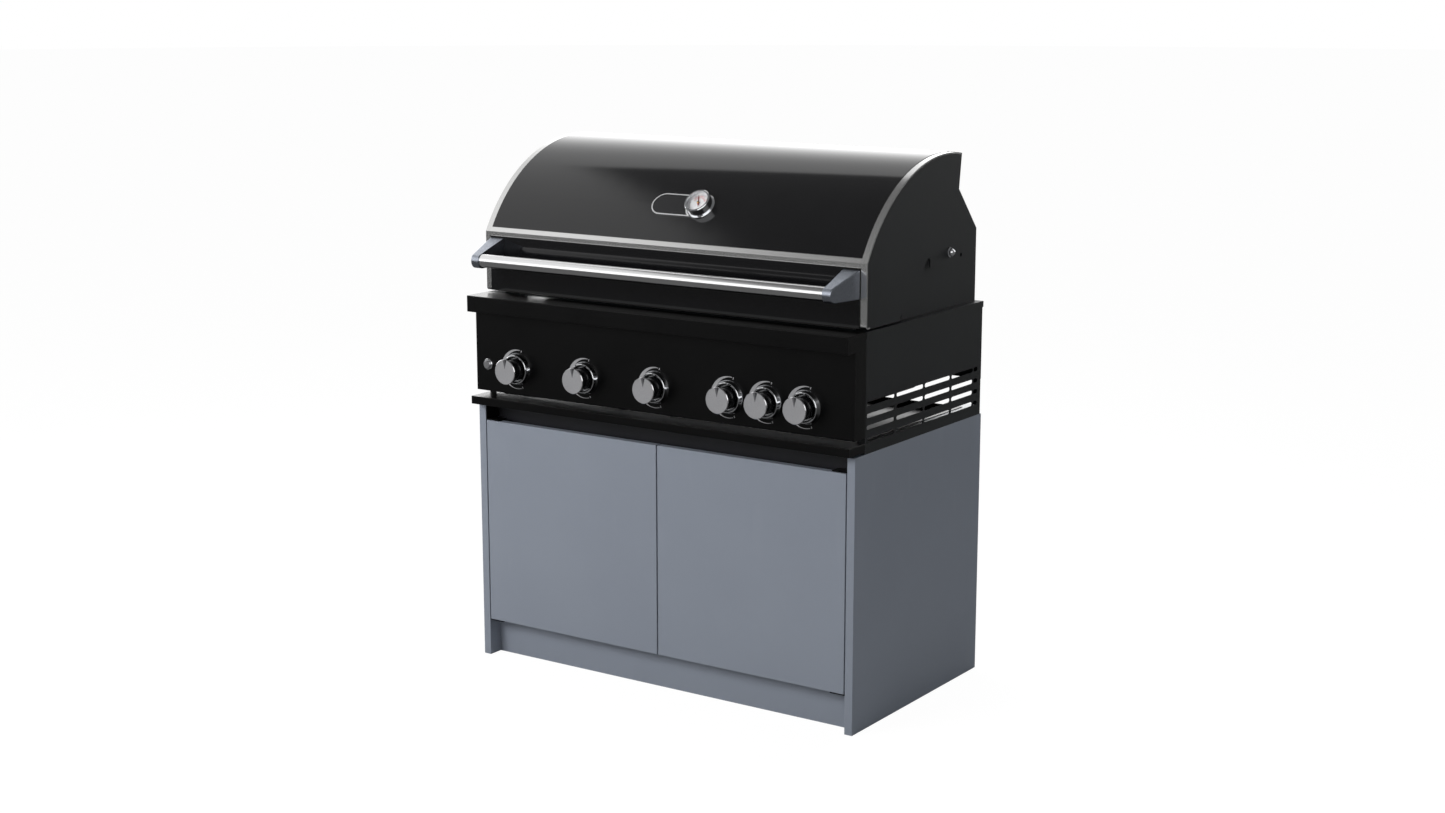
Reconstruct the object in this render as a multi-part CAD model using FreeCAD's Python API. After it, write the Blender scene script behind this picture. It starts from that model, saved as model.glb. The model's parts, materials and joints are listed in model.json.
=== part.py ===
"""Gas barbecue grill on a two-door cabinet, as an assembly of separate sub-parts.

Millimetres. X runs along the width, -Y is the front, +Z is up. The origin is the middle of
the assembly's plan on the floor. While building, Y = 0 is the cabinet's front plane, and
put() moves every piece to the origin as it is written.
"""
import FreeCAD, Part
import math
import os

V = FreeCAD.Vector
AXIS_X, AXIS_Y, AXIS_Z = V(1, 0, 0), V(0, 1, 0), V(0, 0, 1)

# ---------------------------------------------------------------- driving dimensions
width = 1000.0              # outside of cabinet, control panel and hood
cabinet_depth = 550.0
cabinet_height = 595.0
half = width / 2
board = 19.0                # cabinet boards
edge_round = 1.0            # broken edge of boards and doors
sheet = 1.5                 # steel sheet of the grill head
heavy_sheet = 2.0           # control panel, hood sides, rear housing
seat_gap = 0.2              # between a moving sheet and the one it passes
running = 0.05              # radial clearance of a pin that turns in a hole

# cabinet
door_thickness = 18.0
door_bottom = 87.0
door_top = cabinet_height - 35.0
door_side_gap = 2.5
door_middle_gap = 3.0
plinth_setback = 37.0
plinth_thickness = 19.0
pivot_plate = 2.0           # steel of the door pivot brackets
pivot_from_edge = 14.0      # pivot pin axis to the outer edge of the door
pivot_from_front = 8.0      # pivot pin axis to the front face of the door
pivot_pin_r = 3.0
pivot_pin_in_door = 12.0
back_panel_thickness = 6.0
back_panel_setback = 8.0
hose_hole_r = 30.0
channel_front = door_thickness + 12.0    # finger-pull channel behind the door tops
channel_back = channel_front + 17.0
channel_drop = 50.0
catch_size = (36.0, 14.0)   # door magnets: width, height
catch_from_middle = 30.0

# grill head
seam_y = 39.0               # where the control panel ends and the body begins
body_back = cabinet_depth - 5.0
body_inset = 1.0            # body side sheets stand in from the full width
body_top = cabinet_height + 255.0    # top of the flange that the hood closes over
body_flange = 17.5          # stiffening flanges of the body sheets
lip_drop = 13.4             # folded edge of the top frame
back_opening = 78.0         # open band below the back sheet
vent_rows = [cabinet_height + up for up in (29.0, 55.0, 79.5, 105.0)]
vent_from_front = 46.0
vent_from_back = 16.0
vent_lengths = (114.0, 115.0, 113.0, 98.0, 18.0)     # slots in a row, from the front
vent_gaps = (8.0, 6.0, 7.0, 4.0)
vent_height = 9.5

# control panel and ledge
fascia_y = -4.2
fascia_bottom = cabinet_height + 35.2
ledge_y = -33.7
ledge_bottom = body_top - 36.8
ledge_round = 3.0

# grease tray
tray_front = -26.4
tray_bottom = cabinet_height + 5.4
tray_top = tray_bottom + 18.3
tray_sheet = 1.2
pan_half = half - 35.0
pan_back = cabinet_depth - 50.0
pan_flange = 14.0
runner_width = 29.5

# controls
burner_pitch = (width - 45.0) / 5
knob_z = cabinet_height + 93.5
knob_face_y = -48.4
knob_face_r = 28.6
knob_cap = 3.2              # metal cap on the plastic knob
knob_body_r = knob_face_r - 4.1
knob_back_y = -12.5
knob_push = 3.0
stem_r = 4.0
stem_front_y = -36.0
stem_back_y = 24.0
bezel_front_r = knob_face_r + 4.0
bezel_base_r = bezel_front_r + 4.7
bezel_front_y = -15.3
bezel_rim = 2.4             # width of the bezel's front rim
bezel_floor = 2.2
igniter_x = 35.0 - half
igniter_z = knob_z + 3.5
igniter_bezel_r = 13.0
igniter_button_r = 9.6
igniter_face_y = -12.0

# gas train
manifold_y = 23.0
manifold_z = cabinet_height + 62.0
manifold_r = 9.0
inlet_x = 60.0 - half
inlet_thread_r = 10.48      # 1/2 inch parallel gas thread
inlet_thread_length = 16.0
inlet_end = body_back + 1.0
valve_half = 12.0
valve_front = 12.0
valve_back = 34.0
spud_r = 6.0
spud_end = 50.0
rear_pipe_r = 5.0
rear_pipe_x = half - 30.0
rear_pipe_y = body_back - 19.0
rear_pipe_z = cabinet_height + 157.0

# firebox, burners and grates
fire_half = half - 42.5
fire_front = 62.0
fire_back = body_back - 18.0
fire_vertical = cabinet_height + 135.0   # below this the firebox tapers
fire_bottom = cabinet_height + 45.0
fire_bottom_half = half - 160.0
fire_rim = 4.5
drain_half = (60.0, 90.0)
burner_z = cabinet_height + 125.0
burner_r = 13.0
burner_wall = 1.0
burner_front = 46.0
burner_back = fire_back - 15.0
port_r = 1.25
ports = 20
tamer_half = 55.0
tamer_bottom = cabinet_height + 170.0
tamer_rise = 26.0
ledge_depth = 14.0
grate_bottom = body_top - 28.0
grate_height = 12.0
grate_gap = 1.5
grate_bar = 6.0
grate_frame = 9.0
grate_bars = 15
electrode_offset = 24.0
electrode_z = burner_z + 22.0

# rear housing and rear burner
housing_half = half - 19.0
housing_back = body_back - 2.0
housing_knee_z = body_top + 162.0
rear_burner_half = half - 170.0
rear_burner_depth = 36.0
rear_burner_z = (body_top + 22.0, body_top + 102.0)
plate_edge = 10.0               # frame round the ceramic plate
plate_thickness = 13.0
rack_z = body_top + 80.0
rack_rod_r = 2.5
rack_bar_r = 3.5
rack_rods = 8

# hood
hood_front = 37.0
hood_bottom = body_top + 5.0
arc_centre = (cabinet_depth - 175.0, body_top - 45.6)   # Y, Z of the centre of the curved skin
corner_rise = 134.365           # from the hood's bottom to the corner between front and curve
arc_r = math.hypot(arc_centre[0] - hood_front, corner_rise + hood_bottom - arc_centre[1])
hood_roll = 6.0                 # rolled bottom edge of the front
hood_return = 9.0
rear_reach = 57.6               # the curve runs on this far past the top of its arc
rear_set_in = 0.267             # and its rear edge is set in a little
hood_rear_top = (arc_centre[0] + rear_reach,
                 arc_centre[1] + math.sqrt((arc_r - rear_set_in) ** 2 - rear_reach ** 2))
hood_hem = 12.0
trim_width = 15.0
trim_sheet = 1.5
trim_lip = 3.5
belt_up = 11.0
belt_down = 9.0
skin_proud = 0.8
panel_proud = 3.0
corner_round = 3.0
pivot = (arc_centre[0] + 10.6, body_top + 126.0)          # Y, Z of the hood's pivot
pivot_bolt_r = 5.0
pivot_washer_r = 11.0
dome_r = 8.0
spit_hole = (88.0, 16.5, 4.2)   # hole in the housing's side plates: behind and below the pivot, radius

# where the rear housing and the rack stand under the hood
housing_slope_point = (hood_rear_top[0] + 25.0, hood_rear_top[1] - 79.6)
housing_top_z = hood_rear_top[1] - 7.1
housing_front = (pivot[0] - 173.6, pivot[0] - 135.6)      # side plates' front edge: low end, high end
rack_y = (pivot[0] - 85.6, pivot[0] + 54.4)

# handle
bar_y = -36.0
bar_z = hood_bottom + 78.0
bar_r = 15.0
bar_wall = 1.5
bar_half = half - 51.0
bar_in_bracket = 8.0
nose_r = bar_r + 2.5
bracket_top = hood_bottom + 121.0
bracket_rear_inner = half - 54.0
bracket_nose_outer = half - 31.0
bracket_round = 3.0

# badge and temperature gauge, on the curved skin
gauge_angle = 43.9              # degrees up from the front, about the arc's centre
gauge_x = 52.0
gauge_height = 22.7
gauge_r = 29.3
gauge_flange_r = gauge_r + 3.4
gauge_flange = 3.0
gauge_wall = 2.5
dial_height = 12.0
glass_height = 19.5
needle_length = 20.0
badge_left = -46.0              # centre of the badge's round end
badge_r = gauge_r - 0.7
badge_height = 2.6
badge_rim = 3.0
badge_inset = 0.8

# ---------------------------------------------------------------- values worked out from them
handle_front = bar_y - nose_r
middle_y = (cabinet_depth + handle_front) / 2
inner_half = half - board                   # inside faces of the cabinet sides
body_outer = half - body_inset
body_inner = body_outer - sheet
floor_bottom = door_bottom - 1.0
floor_top = floor_bottom + board
base_z = cabinet_height + heavy_sheet
door_width = (2 * inner_half - 2 * door_side_gap - door_middle_gap) / 2
pivot_x = inner_half - door_side_gap - pivot_from_edge
burner_xs = [burner_pitch * i for i in (-2, -1, 0, 1, 2)]
rear_knob_x = burner_pitch * 1.5
knob_xs = sorted(burner_xs + [rear_knob_x])
fire_inner = fire_half - sheet
gauge_phi = math.radians(gauge_angle)
gauge_out = V(0, -math.cos(gauge_phi), math.sin(gauge_phi))
gauge_up = V(0, math.sin(gauge_phi), math.cos(gauge_phi))
skin_r = arc_r + skin_proud


# ---------------------------------------------------------------- helpers
def box(x0, x1, y0, y1, z0, z1):
    return Part.makeBox(x1 - x0, y1 - y0, z1 - z0, V(x0, y0, z0))


def rounded_box(x0, x1, y0, y1, z0, z1, r):
    solid = box(x0, x1, y0, y1, z0, z1)
    return solid.makeFillet(r, solid.Edges)


def rod(start, end, r):
    start, end = V(*start), V(*end)
    return Part.makeCylinder(r, (end - start).Length, start, end - start)


def prism(corners, along):
    """Extrude a closed polygon of points along a vector."""
    return Part.Face(Part.makePolygon([V(*c) for c in corners + corners[:1]])).extrude(V(*along))


def prism_x(yz, x0, x1):
    return prism([(x0, y, z) for y, z in yz], (x1 - x0, 0, 0))


def prism_y(xz, y0, y1):
    return prism([(x, y0, z) for x, z in xz], (0, y1 - y0, 0))


def fuse(solids):
    solids = list(solids)
    return solids[0].multiFuse(solids[1:]).removeSplitter() if len(solids) > 1 else solids[0]


def cut(solid, tools):
    return solid.cut(list(tools)) if tools else solid


def mirrored(solid):
    return solid.mirror(V(0, 0, 0), AXIS_X)


def edges_where(solid, test):
    return [e for e in solid.Edges if test(e.BoundBox)]


def near(value, target, tolerance=0.01):
    return abs(value - target) < tolerance


def turned(profile, centre, direction):
    """Revolve a closed (radius, height) outline about a direction through a centre."""
    face = Part.Face(Part.makePolygon([V(r, 0, h) for r, h in profile + profile[:1]]))
    solid = face.revolve(V(0, 0, 0), AXIS_Z, 360)
    solid.Placement = FreeCAD.Placement(centre, FreeCAD.Rotation(AXIS_Z, direction))
    return solid


def bent_pipe(points, r, bend):
    """Round pipe along straight runs joined by tangent arcs."""
    points = [V(*p) for p in points]
    edges, start = [], points[0]
    for before, corner, after in zip(points, points[1:], points[2:]):
        back, ahead = (before - corner).normalize(), (after - corner).normalize()
        half_turn = back.getAngle(ahead) / 2
        reach = bend / math.tan(half_turn)
        bisector = (back + ahead).normalize()
        middle = corner + bisector * (bend / math.sin(half_turn) - bend)
        entry, leave = corner + back * reach, corner + ahead * reach
        edges += [Part.LineSegment(start, entry).toShape(), Part.Arc(entry, middle, leave).toShape()]
        start = leave
    edges.append(Part.LineSegment(start, points[-1]).toShape())
    section = Part.Wire(Part.Circle(points[0], points[1] - points[0], r).toShape())
    return Part.Wire(edges).makePipeShell([section], True, False)


def hexagon(across_flats, centre, direction, length):
    r = across_flats / math.sqrt(3)
    ring = [V(r * math.cos(math.radians(60 * i)), r * math.sin(math.radians(60 * i)), 0) for i in range(7)]
    solid = Part.Face(Part.makePolygon(ring)).extrude(V(0, 0, length))
    solid.Placement = FreeCAD.Placement(V(*centre), FreeCAD.Rotation(AXIS_Z, V(*direction)))
    return solid


def put(name, *solids):
    """Write one sub-part: its solids, moved so that the origin is under the middle of the plan."""
    shape = solids[0].copy() if len(solids) == 1 else Part.makeCompound([s.copy() for s in solids])
    shape.translate(V(0, -middle_y, 0))
    for solid in shape.Solids:
        if not solid.isValid() or solid.Volume <= 0:
            raise ValueError(name + " holds an invalid solid")
    if not shape.Solids:
        raise ValueError(name + " holds no solid")
    shape.exportStep(os.path.join("parts", name + ".step"))
    print(name, len(shape.Solids), "solid(s)", round(shape.Volume / 1000, 1), "cm3")


# ---------------------------------------------------------------- cabinet
def cabinet():
    side = rounded_box(inner_half, half, 0, cabinet_depth, 0, cabinet_height, edge_round)
    put("cabinet_side_right", side)
    put("cabinet_side_left", mirrored(side))
    plinth_top = floor_bottom - pivot_plate
    put("cabinet_plinth", box(-inner_half, inner_half, plinth_setback,
                              plinth_setback + plinth_thickness, 0, plinth_top))
    panel_back = cabinet_depth - back_panel_setback
    panel_front = panel_back - back_panel_thickness
    put("cabinet_floor", box(-inner_half, inner_half, plinth_setback, panel_back, floor_bottom, floor_top))
    hose_hole = rod((-inner_half / 2, panel_front - 1, cabinet_height * 0.7),
                    (-inner_half / 2, panel_back + 1, cabinet_height * 0.7), hose_hole_r)
    put("cabinet_back", box(-inner_half, inner_half, panel_front, panel_back,
                            floor_top, cabinet_height).cut(hose_hole))


def finger_pull_channel():
    """Folded channel behind the door tops: fingers reach over a door into it."""
    ends = inner_half - pivot_plate - seat_gap
    low = cabinet_height - channel_drop
    outer = box(-ends, ends, channel_front, channel_back, low, cabinet_height)
    hollow = box(-ends - 1, ends + 1, channel_front - 1, channel_back - heavy_sheet,
                 low + heavy_sheet, cabinet_height - heavy_sheet)
    put("finger_pull_channel", outer.cut(hollow))
    catch_width, catch_height = catch_size
    catch = box(catch_from_middle - catch_width / 2, catch_from_middle + catch_width / 2,
                door_thickness + 2 * seat_gap, channel_back, low - catch_height, low)
    put("door_catches", catch, mirrored(catch))


def door():
    outer = inner_half - door_side_gap
    panel = rounded_box(outer - door_width, outer, 0, door_thickness, door_bottom, door_top, edge_round)
    bores = []
    for end, into in ((door_bottom, 1), (door_top, -1)):
        depth = into * (pivot_pin_in_door + 2)
        bores.append(rod((pivot_x, pivot_from_front, end - into), (pivot_x, pivot_from_front, end + depth),
                         pivot_pin_r + running))
    panel = cut(panel, bores)
    put("door_right", panel)
    put("door_left", mirrored(panel))


def door_pivots():
    """Pivot bracket above and below each door's outer corner, and the pin that each one holds."""
    inner_end = pivot_x - 3 * pivot_pin_r - 12
    low_plate = box(inner_end, inner_half, 2, plinth_setback + plinth_thickness,
                    floor_bottom - pivot_plate, floor_bottom)
    high = door_top + door_middle_gap / 2
    high_plate = box(inner_end, inner_half, 2, channel_front - 1, high, high + pivot_plate)
    cheek = box(inner_half - pivot_plate, inner_half, 2, channel_back - 2, high, cabinet_height)
    bore = rod((pivot_x, pivot_from_front, 0), (pivot_x, pivot_from_front, cabinet_height), pivot_pin_r)
    low_pin = rod((pivot_x, pivot_from_front, floor_bottom - pivot_plate),
                  (pivot_x, pivot_from_front, door_bottom + pivot_pin_in_door), pivot_pin_r)
    high_pin = rod((pivot_x, pivot_from_front, door_top - pivot_pin_in_door),
                   (pivot_x, pivot_from_front, high + pivot_plate), pivot_pin_r)
    right = [low_plate.cut(bore), fuse([high_plate, cheek]).cut(bore), low_pin, high_pin]
    put("door_pivots", *(right + [mirrored(s) for s in right]))


# ---------------------------------------------------------------- body of the grill head
def base_frame():
    plate = box(-body_outer, body_outer, seam_y, body_back, cabinet_height, base_z)
    opening = box(-fire_half + 20, fire_half - 20, seam_y + 60, body_back - 45, cabinet_height - 1, base_z + 1)
    put("base_frame", plate.cut(opening))


def vent(y0, y1, z):
    r = vent_height / 2
    x0, x1 = body_inner - 1, body_outer + 1
    return fuse([box(x0, x1, y0 + r, y1 - r, z - r, z + r)]
                + [rod((x0, y, z), (x1, y, z), r) for y in (y0 + r, y1 - r)])


def vent_columns():
    """Front and back of each slot in a row; the slots stretch with the body's depth."""
    room = body_back - vent_from_back - vent_from_front - sum(vent_gaps)
    stretch = room / sum(vent_lengths)
    columns, front = [], vent_from_front
    for length, gap in zip(vent_lengths, vent_gaps + (0,)):
        columns.append((front, front + length * stretch))
        front += length * stretch + gap
    return columns


def body_sides():
    top = body_top - sheet
    panel = box(body_inner, body_outer, seam_y, body_back, base_z, top)
    inner = body_outer - body_flange
    flanges = [box(inner, body_outer, seam_y, body_back, base_z, base_z + sheet),
               box(inner, body_outer, seam_y, seam_y + sheet, base_z, top),
               box(inner, body_outer, body_back - sheet, body_back, base_z, top)]
    side = cut(fuse([panel] + flanges), [vent(y0, y1, z) for y0, y1 in vent_columns() for z in vent_rows])
    put("body_side_right", side)
    put("body_side_left", mirrored(side))


def body_back_panel():
    put("body_back_panel", box(-body_outer, body_outer, body_back, body_back + sheet,
                               base_z + back_opening, body_top - sheet))


def top_frame():
    """Flange round the cooking opening, folded down over the body's sides and back."""
    outer = half + body_inset / 2
    back = body_back + 2 * sheet
    skirt = box(-outer, outer, seam_y, back, body_top - lip_drop, body_top)
    hollow = box(-body_outer, body_outer, seam_y - 1, back - sheet, body_top - lip_drop - 1, body_top - sheet)
    opening = box(-fire_half, fire_half, fire_front, fire_back, body_top - lip_drop, body_top + 1)
    pipe_hole = rod((rear_pipe_x, rear_pipe_y, body_top - lip_drop), (rear_pipe_x, rear_pipe_y, body_top + 1),
                    rear_pipe_r + 1)
    put("top_frame", cut(skirt, [hollow, opening, pipe_hole]))


def front_bulkhead():
    """Sheet behind the control panel that keeps the fire's heat from the valves."""
    y0, y1 = seam_y + sheet, seam_y + 2 * sheet
    plate = box(-body_inner, body_inner, y0, y1, tray_top + 3, body_top - sheet)
    holes = [rod((x, y0 - 1, burner_z), (x, y1 + 1, burner_z), spud_r + 2) for x in burner_xs]
    holes.append(rod((inlet_x, y0 - 1, manifold_z), (inlet_x, y1 + 1, manifold_z), manifold_r + 1))
    holes.append(rod((rear_pipe_x, y0 - 1, rear_pipe_z), (rear_pipe_x, y1 + 1, rear_pipe_z), rear_pipe_r + 1))
    put("front_bulkhead", cut(plate, holes))


def control_panel():
    """Folded box: the upright panel that carries the knobs, and the ledge above it."""
    t = heavy_sheet
    outline = [(seam_y, body_top), (ledge_y, body_top), (ledge_y, ledge_bottom),
               (fascia_y, ledge_bottom), (fascia_y, fascia_bottom), (seam_y, fascia_bottom)]
    shell = prism_x(outline, -half, half)
    rounds = edges_where(shell, lambda b: near(b.YMax, ledge_y) or (near(b.YMax, fascia_y) and b.XLength > 1
                                                                   and b.ZMax < ledge_bottom - 1))
    shell = shell.makeFillet(ledge_round / 2, [e for e in rounds if e.BoundBox.XLength > 1])
    hollow = prism_x([(seam_y + 1, body_top - t), (ledge_y + t, body_top - t), (ledge_y + t, ledge_bottom + t),
                      (fascia_y + t, ledge_bottom + t), (fascia_y + t, fascia_bottom + t),
                      (seam_y + 1, fascia_bottom + t)], -half + t, half - t)
    flange = box(half - body_flange, half - t, seam_y - t, seam_y, fascia_bottom + t, body_top - t)
    knob_holes = [rod((x, fascia_y - 1, knob_z), (x, fascia_y + t + 1, knob_z), stem_r + 3) for x in knob_xs]
    igniter_hole = rod((igniter_x, fascia_y - 1, igniter_z), (igniter_x, fascia_y + t + 1, igniter_z),
                       igniter_button_r + 1.2)
    shell = fuse([shell.cut(hollow), flange, mirrored(flange)])
    put("control_panel", cut(shell, knob_holes + [igniter_hole]))


# ---------------------------------------------------------------- grease tray
def grease_tray():
    """Pull-out tray: a full-width front rail, which is its grip, and a pan on side flanges."""
    t = heavy_sheet
    rail = rounded_box(-half, half, tray_front, seam_y - t, tray_bottom, tray_top, edge_round)
    rail = rail.cut(box(-half + t, half - t, tray_front + t, seam_y, tray_bottom + t, tray_top - t))
    rail_web = box(-half + t, half - t, seam_y - 2 * t, seam_y - t, tray_bottom + t, tray_top - t)
    pan_top = tray_top - t
    pan = box(-pan_half, pan_half, seam_y - t, pan_back, tray_bottom, pan_top)
    pan = pan.cut(box(-pan_half + tray_sheet, pan_half - tray_sheet, seam_y - t + tray_sheet,
                      pan_back - tray_sheet, tray_bottom + tray_sheet, pan_top + 1))
    flange = box(pan_half - tray_sheet, pan_half + pan_flange, seam_y - t, pan_back, pan_top - tray_sheet, pan_top)
    put("grease_tray", fuse([rail, rail_web, pan, flange, mirrored(flange)]))
    shelf_top = pan_top - tray_sheet - seat_gap
    shelf = box(body_inner - runner_width, body_inner, seam_y + sheet, body_back - 3 * sheet,
                shelf_top - sheet, shelf_top)
    web = box(body_inner - sheet, body_inner, seam_y + sheet, body_back - 3 * sheet, base_z + sheet, shelf_top)
    runner = fuse([shelf, web])
    put("tray_runners", runner, mirrored(runner))


# ---------------------------------------------------------------- firebox and what it holds
def firebox_section(inset):
    slope = math.atan2(fire_vertical - fire_bottom, fire_half - fire_bottom_half)
    shift = inset * math.tan(slope / 2)
    return [(-fire_half + inset, fire_vertical + shift), (-fire_bottom_half + shift, fire_bottom + inset),
            (fire_bottom_half - shift, fire_bottom + inset), (fire_half - inset, fire_vertical + shift)]


def firebox():
    """Tapered box that hangs by its rim in the top frame."""
    rim_top = body_top + sheet
    low = firebox_section(0)
    outer = prism_y([(-fire_half, rim_top)] + low + [(fire_half, rim_top)], fire_front, fire_back)
    inner_low = firebox_section(sheet)
    hollow = prism_y([(-fire_inner, rim_top + 1)] + inner_low + [(fire_inner, rim_top + 1)],
                     fire_front + sheet, fire_back - sheet)
    rim = box(-fire_half - fire_rim, fire_half + fire_rim, fire_front - fire_rim, fire_back + fire_rim,
              body_top, rim_top).cut(box(-fire_half, fire_half, fire_front, fire_back, 0, rim_top + 1))
    y0, y1 = fire_front + sheet, fire_back - sheet
    ledges = []
    for z in (tamer_bottom, grate_bottom):
        ledges.append(box(-fire_inner, fire_inner, y0, y0 + ledge_depth, z - sheet, z))
        ledges.append(box(-fire_inner, fire_inner, y1 - ledge_depth, y1, z - sheet, z))
    shell = fuse([outer.cut(hollow), rim] + ledges)
    drain_x, drain_y = drain_half
    middle = (fire_front + fire_back) / 2
    holes = [rod((x, fire_front - 1, burner_z), (x, y0 + 1, burner_z), burner_r) for x in burner_xs]
    holes += [rod((x + electrode_offset, fire_front - 1, electrode_z),
                  (x + electrode_offset, y0 + 1, electrode_z), 3.0) for x in burner_xs]
    holes.append(box(-drain_x, drain_x, middle - drain_y, middle + drain_y, fire_bottom - 1,
                     fire_bottom + sheet + 1))
    put("firebox", cut(shell, holes))


def main_burners():
    """Tube burners: open mouth over the valve's jet, ports along both sides, a tab at the rear."""
    wall_y = fire_back - sheet
    burners = []
    for x in burner_xs:
        tube = rod((x, burner_front, burner_z), (x, burner_back, burner_z), burner_r)
        bore = rod((x, burner_front - 1, burner_z), (x, burner_back - 2, burner_z), burner_r - burner_wall)
        tab = box(x - 10, x + 10, burner_back - 2, wall_y, burner_z - 1, burner_z + 1)
        first, last = fire_front + 40, burner_back - 20
        step = (last - first) / (ports - 1)
        holes = [rod((x - burner_r - 1, first + i * step, burner_z + 4),
                     (x + burner_r + 1, first + i * step, burner_z + 4), port_r) for i in range(ports)]
        burners.append(cut(fuse([tube, tab]), [bore] + holes))
    put("main_burners", *burners)


def flame_tamers():
    tamers = []
    for x in burner_xs:
        roof = [(x - tamer_half, tamer_bottom), (x, tamer_bottom + tamer_rise), (x + tamer_half, tamer_bottom)]
        under = [(x + tamer_half - 2 * sheet, tamer_bottom), (x, tamer_bottom + tamer_rise - 1.1 * sheet),
                 (x - tamer_half + 2 * sheet, tamer_bottom)]
        tamers.append(prism_y(roof + under, fire_front + 2 * sheet, fire_back - 2 * sheet))
    put("flame_tamers", *tamers)


def cooking_grates():
    """Three cast grates side by side on the firebox's ledges."""
    room = 2 * fire_inner - 4 * grate_gap
    each = room / 3
    y0, y1 = fire_front + sheet + grate_gap, fire_back - sheet - grate_gap
    top = grate_bottom + grate_height
    grates = []
    for i in range(3):
        x0 = -fire_inner + grate_gap + i * (each + grate_gap)
        x1 = x0 + each
        frame = box(x0, x1, y0, y1, grate_bottom, top - 2)
        frame = frame.cut(box(x0 + grate_frame, x1 - grate_frame, y0 + grate_frame, y1 - grate_frame,
                              grate_bottom - 1, top))
        pitch = (each - grate_frame) / (grate_bars - 1)
        bars = [box(x0 + grate_frame / 2 + n * pitch - grate_bar / 2, x0 + grate_frame / 2 + n * pitch + grate_bar / 2,
                    y0 + grate_frame / 2, y1 - grate_frame / 2, grate_bottom + 2, top) for n in range(grate_bars)]
        tie = box(x0 + 1, x1 - 1, (y0 + y1) / 2 - grate_bar / 2, (y0 + y1) / 2 + grate_bar / 2,
                  grate_bottom + 2, top - 3)
        grates.append(fuse([frame, tie] + bars))
    put("cooking_grates", *grates)


def igniter_electrodes():
    electrodes = []
    for x in burner_xs:
        ex = x + electrode_offset
        body = rod((ex, fire_front - 8, electrode_z), (ex, fire_front + 30, electrode_z), 3.0)
        tip = rod((ex, fire_front + 30, electrode_z), (ex, fire_front + 48, electrode_z), 1.0)
        electrodes.append(fuse([body, tip]))
    put("igniter_electrodes", *electrodes)


# ---------------------------------------------------------------- rear housing, rear burner, rack
def housing_slope(z):
    """Y of the rear housing's sloping wall at a height."""
    y, point_z = housing_slope_point
    return housing_back + (y - housing_back) * (z - housing_knee_z) / (point_z - housing_knee_z)


def rear_housing():
    """Fixed back of the cooking chamber, whose side plates carry the hood's pivots."""
    t = heavy_sheet
    top_y = housing_slope(housing_top_z)
    outline = [(housing_front[0], body_top), (housing_back, body_top), (housing_back, housing_knee_z),
               (top_y, housing_top_z), (top_y - 40, housing_top_z), (housing_front[1], pivot[1] - 11.0)]
    shell = prism_x(outline, -housing_half, housing_half)
    hollow = prism_x([(seam_y, body_top - 1), (housing_back - t, body_top - 1),
                      (housing_back - t, housing_knee_z - 0.4 * t), (top_y - 1.5 * t, housing_top_z + 1),
                      (seam_y, housing_top_z + 1)], -housing_half + t, housing_half - t)
    y, z = pivot
    holes = [rod((-housing_half - 1, y + back, z - down), (housing_half + 1, y + back, z - down), r)
             for back, down, r in ((0, 0, pivot_bolt_r), spit_hole)]
    put("rear_housing", cut(shell, [hollow] + holes))


def rear_burner():
    """Infrared burner on the rear wall, facing forward over the grates."""
    back = housing_back - heavy_sheet
    z0, z1 = rear_burner_z
    front = back - rear_burner_depth
    shell = box(-rear_burner_half, rear_burner_half, front, back, z0, z1)
    recess = box(-rear_burner_half + plate_edge, rear_burner_half - plate_edge, front - 1, front + 6,
                 z0 + plate_edge, z1 - plate_edge)
    plenum = box(-rear_burner_half + sheet, rear_burner_half - sheet, front + 6 + plate_thickness,
                 back - sheet, z0 + sheet, z1 - sheet)
    put("rear_burner", cut(shell, [recess, plenum]))


def warming_rack():
    inner = housing_half - heavy_sheet
    y0, y1 = rack_y
    ends = inner - 3 * rack_bar_r
    parts = [rod((x, y0 - 6, rack_z), (x, y1 + 6, rack_z), rack_bar_r) for x in (-ends, 0, ends)]
    step = (y1 - y0) / (rack_rods - 1)
    parts += [rod((-ends, y0 + i * step, rack_z + rack_bar_r), (ends, y0 + i * step, rack_z + rack_bar_r),
                  rack_rod_r) for i in range(rack_rods)]
    for y in (y0 + step, y1 - step):
        for side in (-1, 1):
            parts.append(rod((side * ends, y, rack_z), (side * inner, y, rack_z), rack_bar_r))
    put("warming_rack", fuse(parts))


# ---------------------------------------------------------------- gas train
def gas_manifold():
    """Pipe that feeds the valves, turned back along the left side to the inlet."""
    end = inlet_end - inlet_thread_length - 10
    path = [(knob_xs[-1] + 40, manifold_y, manifold_z), (inlet_x, manifold_y, manifold_z),
            (inlet_x, end, manifold_z)]
    pipe = bent_pipe(path, manifold_r, 2 * manifold_r)
    tabs = [box(x - 10, x + 10, manifold_y, seam_y + sheet, manifold_z - 2, manifold_z + 2)
            for x in (knob_xs[0] + burner_pitch / 2, knob_xs[2] + burner_pitch / 2)]
    put("gas_manifold", fuse([pipe] + tabs))
    nut = hexagon(24.0, (inlet_x, end, manifold_z), (0, 1, 0), 10)
    thread = rod((inlet_x, end + 10, manifold_z), (inlet_x, inlet_end, manifold_z), inlet_thread_r)
    bore = rod((inlet_x, end + 1, manifold_z), (inlet_x, inlet_end + 1, manifold_z), 6.5)
    put("gas_inlet", fuse([nut, thread]).cut(bore))


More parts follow.
